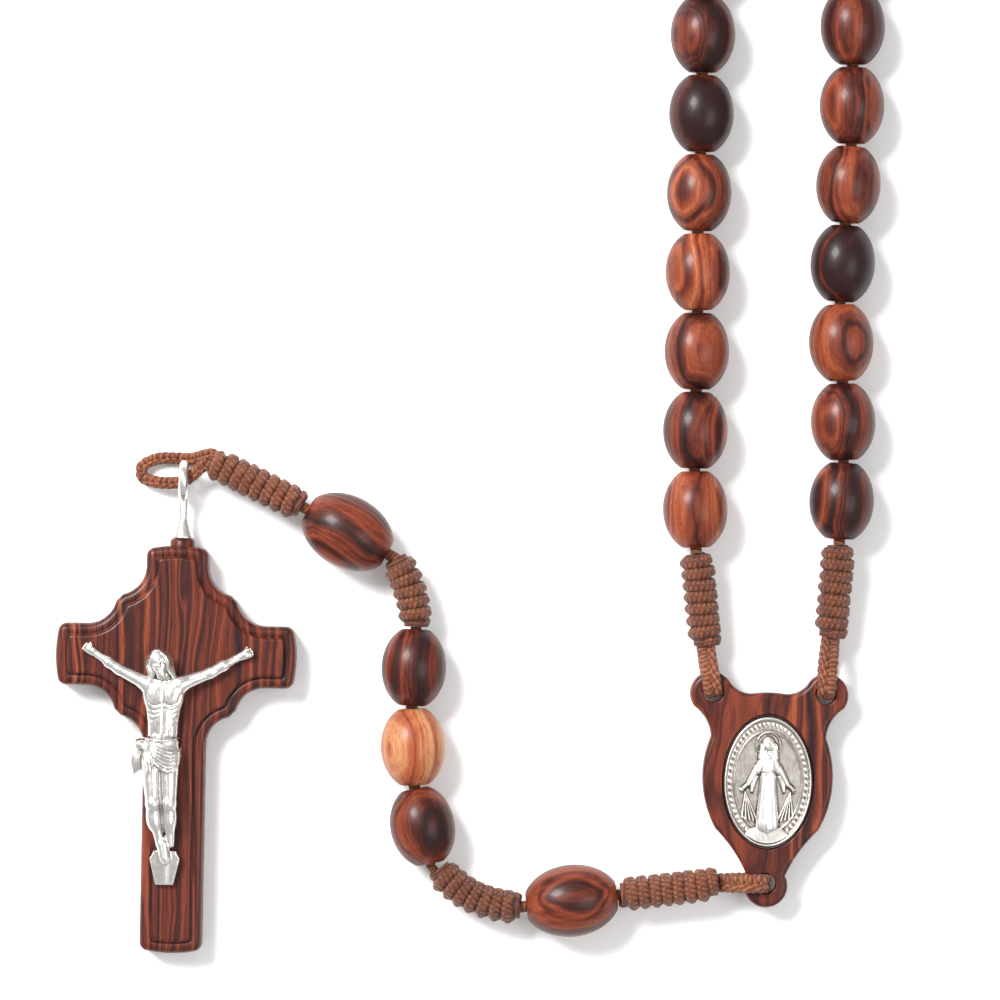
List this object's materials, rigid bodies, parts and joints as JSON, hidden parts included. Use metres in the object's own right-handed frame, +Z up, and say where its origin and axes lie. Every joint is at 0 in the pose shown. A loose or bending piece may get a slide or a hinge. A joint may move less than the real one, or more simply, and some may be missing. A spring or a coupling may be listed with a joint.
{
  "type": "rosary",
  "caption": "Prayer beads: barrel-shaped wooden beads on knotted brown cord in a loop, with an oval-medal centrepiece and a pendant wooden crucifix",
  "frame": {"origin": "middle of the flat lay's outline, on the table", "axes": "+X to the right across the loop, +Y along the loop away from the crucifix, +Z up from the table"},
  "size_m": [0.1235, 0.2983, 0.0079],
  "materials": {
    "wood": "satin polish",
    "cord": "waxed",
    "metal": "antique silver plate"
  },
  "bodies": {
    "centre": {"centrepiece": "wood", "medal": "metal"},
    "left_end": {"left_cord_loop": "cord", "left_end_knot": "cord", "left_strand_cord": "cord"},
    "left_beads_01_02": {"left_hail_marys_01_02": "wood"},
    "left_beads_03_04": {"left_hail_marys_03_04": "wood"},
    "left_beads_05_06": {"left_hail_marys_05_06": "wood"},
    "left_beads_07_08": {"left_hail_marys_07_08": "wood"},
    "left_beads_09_10": {"left_hail_marys_09_10": "wood"},
    "left_knot_1_cord": {"left_knot_1": "cord"},
    "left_our_father_1_bead": {"left_our_father_1": "wood"},
    "left_knot_2_barrel": {"left_knot_2": "cord"},
    "left_beads_11_12": {"left_hail_marys_11_12": "wood"},
    "left_beads_13_14": {"left_hail_marys_13_14": "wood"},
    "left_beads_15_16": {"left_hail_marys_15_16": "wood"},
    "left_beads_17_18": {"left_hail_marys_17_18": "wood"},
    "left_beads_19_20": {"left_hail_marys_19_20": "wood"},
    "left_knot_3_cord": {"left_knot_3": "cord"},
    "left_our_father_2_bead": {"left_our_father_2": "wood"},
    "left_knot_4_barrel": {"left_knot_4": "cord"},
    "left_beads_21_22": {"left_hail_marys_21_22": "wood"},
    "left_beads_23_24_25": {"left_hail_marys_23_24_25": "wood"},
    "right_end": {"right_cord_loop": "cord", "right_end_knot": "cord", "right_strand_cord": "cord"},
    "right_beads_01_02": {"right_hail_marys_01_02": "wood"},
    "right_beads_03_04": {"right_hail_marys_03_04": "wood"},
    "right_beads_05_06": {"right_hail_marys_05_06": "wood"},
    "right_beads_07_08": {"right_hail_marys_07_08": "wood"},
    "right_beads_09_10": {"right_hail_marys_09_10": "wood"},
    "right_knot_1_cord": {"right_knot_1": "cord"},
    "right_our_father_1_bead": {"right_our_father_1": "wood"},
    "right_knot_2_barrel": {"right_knot_2": "cord"},
    "right_beads_11_12": {"right_hail_marys_11_12": "wood"},
    "right_beads_13_14": {"right_hail_marys_13_14": "wood"},
    "right_beads_15_16": {"right_hail_marys_15_16": "wood"},
    "right_beads_17_18": {"right_hail_marys_17_18": "wood"},
    "right_beads_19_20": {"right_hail_marys_19_20": "wood"},
    "right_knot_3_cord": {"right_knot_3": "cord"},
    "right_our_father_2_bead": {"right_our_father_2": "wood"},
    "right_knot_4_barrel": {"right_knot_4": "cord"},
    "right_beads_21_22": {"right_hail_marys_21_22": "wood"},
    "right_beads_23_24_25": {"right_hail_marys_23_24_25": "wood"},
    "tail": {"tail_cord_loop": "cord", "knot_4": "cord"},
    "knot_3_cord": {"knot_3": "cord"},
    "middle_cord": {"pendant_cord": "cord"},
    "knot_2_cord": {"knot_2": "cord"},
    "knot_1_cord": {"knot_1": "cord", "crucifix_cord_loop": "cord"},
    "crucifix": {"cross": "wood", "corpus": "metal", "corpus_nails": "metal", "screw_eye": "metal"},
    "our_father_bead_2_spinning": {"our_father_bead_2": "wood"},
    "hail_mary_bead_3_spinning": {"hail_mary_bead_3": "wood"},
    "hail_mary_bead_2_spinning": {"hail_mary_bead_2": "wood"},
    "hail_mary_bead_1_spinning": {"hail_mary_bead_1": "wood"},
    "our_father_bead_1_spinning": {"our_father_bead_1": "wood"}
  },
  "joints": [
    {"name": "left_end_yaw", "type": "hinge", "parent": "centre", "child": "left_end", "pos_m": [0.00945, -0.11978, 0.0026], "axis": [0, 0, 1], "range_deg": [0, 30], "deforming": ["left_strand_cord"]},
    {"name": "left_beads_01_02_pitch", "type": "hinge", "parent": "left_end", "child": "left_beads_01_02", "pos_m": [0.00729, -0.1043, 0.0035], "axis": [-0.9994, -0.0349, 0], "range_deg": [-10, 10]},
    {"name": "left_beads_03_04_yaw", "type": "hinge", "parent": "left_beads_01_02", "child": "left_beads_03_04", "pos_m": [0.007, -0.08717, 0.0035], "axis": [0, 0, 1], "range_deg": [0, 10]},
    {"name": "left_beads_05_06_pitch", "type": "hinge", "parent": "left_beads_03_04", "child": "left_beads_05_06", "pos_m": [0.00685, -0.07003, 0.0035], "axis": [-0.9998, 0.0175, 0], "range_deg": [-10, 10]},
    {"name": "left_beads_07_08_yaw", "type": "hinge", "parent": "left_beads_05_06", "child": "left_beads_07_08", "pos_m": [0.007, -0.05289, 0.0035], "axis": [0, 0, 1], "range_deg": [0, 10]},
    {"name": "left_beads_09_10_pitch", "type": "hinge", "parent": "left_beads_07_08", "child": "left_beads_09_10", "pos_m": [0.00642, -0.03577, 0.0035], "axis": [-0.991, -0.134, 0], "range_deg": [-10, 10]},
    {"name": "left_knot_1_cord_yaw", "type": "hinge", "parent": "left_beads_09_10", "child": "left_knot_1_cord", "pos_m": [0.00355, -0.01888, 0.0035], "axis": [0, 0, 1], "range_deg": [0, 10]},
    {"name": "left_our_father_1_spin", "type": "hinge", "parent": "left_knot_1_cord", "child": "left_our_father_1_bead", "pos_m": [-0.00063, -0.00369, 0.00392], "axis": [-0.2656, 0.9637, 0.0276], "continuous": true},
    {"name": "left_knot_2_barrel_pitch", "type": "hinge", "parent": "left_knot_1_cord", "child": "left_knot_2_barrel", "pos_m": [-0.00198, 0.00119, 0.00406], "axis": [-0.9641, -0.2657, 0], "range_deg": [-10, 10]},
    {"name": "left_beads_11_12_yaw", "type": "hinge", "parent": "left_knot_2_barrel", "child": "left_beads_11_12", "pos_m": [-0.00487, 0.0117, 0.0035], "axis": [0, 0, 1], "range_deg": [0, 10]},
    {"name": "left_beads_13_14_pitch", "type": "hinge", "parent": "left_beads_11_12", "child": "left_beads_13_14", "pos_m": [-0.00943, 0.02822, 0.0035], "axis": [-0.9641, -0.2657, 0], "range_deg": [-10, 10]},
    {"name": "left_beads_15_16_yaw", "type": "hinge", "parent": "left_beads_13_14", "child": "left_beads_15_16", "pos_m": [-0.01398, 0.04475, 0.0035], "axis": [0, 0, 1], "range_deg": [0, 10]},
    {"name": "left_beads_17_18_pitch", "type": "hinge", "parent": "left_beads_15_16", "child": "left_beads_17_18", "pos_m": [-0.01853, 0.06127, 0.0035], "axis": [-0.9641, -0.2657, 0], "range_deg": [-10, 10]},
    {"name": "left_beads_19_20_yaw", "type": "hinge", "parent": "left_beads_17_18", "child": "left_beads_19_20", "pos_m": [-0.02309, 0.0778, 0.0035], "axis": [0, 0, 1], "range_deg": [0, 10]},
    {"name": "left_knot_3_cord_pitch", "type": "hinge", "parent": "left_beads_19_20", "child": "left_knot_3_cord", "pos_m": [-0.02764, 0.09432, 0.0035], "axis": [-0.9972, -0.0752, 0], "range_deg": [-10, 10]},
    {"name": "left_our_father_2_spin", "type": "hinge", "parent": "left_knot_3_cord", "child": "left_our_father_2_bead", "pos_m": [-0.02684, 0.11012, 0.00392], "axis": [0.1181, 0.9926, 0.0275], "continuous": true},
    {"name": "left_knot_4_barrel_yaw", "type": "hinge", "parent": "left_knot_3_cord", "child": "left_knot_4_barrel", "pos_m": [-0.02623, 0.11524, 0.00406], "axis": [0, 0, 1], "range_deg": [0, 10]},
    {"name": "left_beads_21_22_pitch", "type": "hinge", "parent": "left_knot_4_barrel", "child": "left_beads_21_22", "pos_m": [-0.02182, 0.12541, 0.0035], "axis": [-0.7652, 0.6437, 0], "range_deg": [-10, 10]},
    {"name": "left_beads_23_24_25_yaw", "type": "hinge", "parent": "left_beads_21_22", "child": "left_beads_23_24_25", "pos_m": [-0.00934, 0.13762, 0.0035], "axis": [0, 0, 1], "range_deg": [0, 10]},
    {"name": "right_end_yaw", "type": "hinge", "parent": "centre", "child": "right_end", "pos_m": [0.02165, -0.11978, 0.0026], "axis": [0, 0, -1], "range_deg": [0, 30], "deforming": ["right_strand_cord"]},
    {"name": "right_beads_01_02_pitch", "type": "hinge", "parent": "right_end", "child": "right_beads_01_02", "pos_m": [0.02282, -0.10309, 0.0035], "axis": [0.9994, -0.0349, 0], "range_deg": [-10, 10]},
    {"name": "right_beads_03_04_yaw", "type": "hinge", "parent": "right_beads_01_02", "child": "right_beads_03_04", "pos_m": [0.02282, -0.08596, 0.0035], "axis": [0, 0, -1], "range_deg": [0, 10]},
    {"name": "right_beads_05_06_pitch", "type": "hinge", "parent": "right_beads_03_04", "child": "right_beads_05_06", "pos_m": [0.02282, -0.06884, 0.0035], "axis": [0.9986, -0.0523, 0], "range_deg": [-10, 10]},
    {"name": "right_beads_07_08_yaw", "type": "hinge", "parent": "right_beads_05_06", "child": "right_beads_07_08", "pos_m": [0.02327, -0.05171, 0.0035], "axis": [0, 0, -1], "range_deg": [0, 10]},
    {"name": "right_beads_09_10_pitch", "type": "hinge", "parent": "right_beads_07_08", "child": "right_beads_09_10", "pos_m": [0.02371, -0.0346, 0.0035], "axis": [0.9905, -0.1372, 0], "range_deg": [-10, 10]},
    {"name": "right_knot_1_cord_yaw", "type": "hinge", "parent": "right_beads_09_10", "child": "right_knot_1_cord", "pos_m": [0.02664, -0.01772, 0.0035], "axis": [0, 0, -1], "range_deg": [0, 10]},
    {"name": "right_our_father_1_spin", "type": "hinge", "parent": "right_knot_1_cord", "child": "right_our_father_1_bead", "pos_m": [0.03092, -0.00256, 0.00392], "axis": [0.2717, 0.962, 0.0276], "continuous": true},
    {"name": "right_knot_2_barrel_pitch", "type": "hinge", "parent": "right_knot_1_cord", "child": "right_knot_2_barrel", "pos_m": [0.03229, 0.00231, 0.00406], "axis": [0.9624, -0.2718, 0], "range_deg": [-10, 10]},
    {"name": "right_beads_11_12_yaw", "type": "hinge", "parent": "right_knot_2_barrel", "child": "right_beads_11_12", "pos_m": [0.03526, 0.01281, 0.0035], "axis": [0, 0, -1], "range_deg": [0, 10]},
    {"name": "right_beads_13_14_pitch", "type": "hinge", "parent": "right_beads_11_12", "child": "right_beads_13_14", "pos_m": [0.03991, 0.0293, 0.0035], "axis": [0.9624, -0.2718, 0], "range_deg": [-10, 10]},
    {"name": "right_beads_15_16_yaw", "type": "hinge", "parent": "right_beads_13_14", "child": "right_beads_15_16", "pos_m": [0.04457, 0.0458, 0.0035], "axis": [0, 0, -1], "range_deg": [0, 10]},
    {"name": "right_beads_17_18_pitch", "type": "hinge", "parent": "right_beads_15_16", "child": "right_beads_17_18", "pos_m": [0.04923, 0.06229, 0.0035], "axis": [0.9624, -0.2718, 0], "range_deg": [-10, 10]},
    {"name": "right_beads_19_20_yaw", "type": "hinge", "parent": "right_beads_17_18", "child": "right_beads_19_20", "pos_m": [0.05389, 0.07878, 0.0035], "axis": [0, 0, -1], "range_deg": [0, 10]},
    {"name": "right_knot_3_cord_pitch", "type": "hinge", "parent": "right_beads_19_20", "child": "right_knot_3_cord", "pos_m": [0.05855, 0.09528, 0.0035], "axis": [0.9967, -0.0808, 0], "range_deg": [-10, 10]},
    {"name": "right_our_father_2_spin", "type": "hinge", "parent": "right_knot_3_cord", "child": "right_our_father_2_bead", "pos_m": [0.05783, 0.11108, 0.00392], "axis": [-0.1131, 0.9932, 0.0275], "continuous": true},
    {"name": "right_knot_4_barrel_yaw", "type": "hinge", "parent": "right_knot_3_cord", "child": "right_knot_4_barrel", "pos_m": [0.05725, 0.11621, 0.00406], "axis": [0, 0, -1], "range_deg": [0, 10]},
    {"name": "right_beads_21_22_pitch", "type": "hinge", "parent": "right_knot_4_barrel", "child": "right_beads_21_22", "pos_m": [0.05288, 0.1264, 0.0035], "axis": [0.7672, 0.6414, 0], "range_deg": [-10, 10]},
    {"name": "right_beads_23_24_25_yaw", "type": "hinge", "parent": "right_beads_21_22", "child": "right_beads_23_24_25", "pos_m": [0.04043, 0.13864, 0.0035], "axis": [0, 0, -1], "range_deg": [0, 10]},
    {"name": "tail_swing", "type": "hinge", "parent": "centre", "child": "tail", "pos_m": [0.01555, -0.14033, 0.0026], "axis": [0, 0, 1], "range_deg": [0, 150]},
    {"name": "knot_3_pitch", "type": "hinge", "parent": "tail", "child": "knot_3_cord", "pos_m": [-0.01046, -0.1433, 0.004], "axis": [0.1219, -0.9925, 0], "range_deg": [-12, 12]},
    {"name": "bead_2_yaw", "type": "hinge", "parent": "knot_3_cord", "child": "middle_cord", "pos_m": [-0.02267, -0.13064, 0.0035], "axis": [0, 0, 1], "range_deg": [-4, 16]},
    {"name": "bead_1_pitch", "type": "hinge", "parent": "middle_cord", "child": "knot_2_cord", "pos_m": [-0.02313, -0.12201, 0.0035], "axis": [-0.9994, 0.0349, 0], "range_deg": [-10, 10]},
    {"name": "knot_1_yaw", "type": "hinge", "parent": "knot_2_cord", "child": "knot_1_cord", "pos_m": [-0.02573, -0.10566, 0.00389], "axis": [0, 0, 1], "range_deg": [-20, 4]},
    {"name": "crucifix_swing", "type": "hinge", "parent": "knot_1_cord", "child": "crucifix", "pos_m": [-0.0483, -0.09798, 0.00235], "axis": [1, 0, 0], "range_deg": [-100, 60]},
    {"name": "our_father_bead_2_spin", "type": "hinge", "parent": "tail", "child": "our_father_bead_2_spinning", "pos_m": [-0.00543, -0.14259, 0.00385], "axis": [-0.9898, -0.1391, 0.0299], "continuous": true},
    {"name": "hail_mary_bead_3_spin", "type": "hinge", "parent": "knot_3_cord", "child": "hail_mary_bead_3_spinning", "pos_m": [-0.0217, -0.13486, 0.00354], "axis": [-0.2249, 0.9743, -0.009], "continuous": true},
    {"name": "hail_mary_bead_2_spin", "type": "hinge", "parent": "middle_cord", "child": "hail_mary_bead_2_spinning", "pos_m": [-0.0229, -0.12631, 0.0035], "axis": [-0.0523, 0.9986, 0], "continuous": true},
    {"name": "hail_mary_bead_1_spin", "type": "hinge", "parent": "knot_2_cord", "child": "hail_mary_bead_1_spinning", "pos_m": [-0.02298, -0.11771, 0.0035], "axis": [0.0349, 0.9994, 0], "continuous": true},
    {"name": "our_father_bead_1_spin", "type": "hinge", "parent": "knot_1_cord", "child": "our_father_bead_1_spinning", "pos_m": [-0.03041, -0.10317, 0.00391], "axis": [-0.8829, 0.4695, 0.0027], "continuous": true}
  ]
}
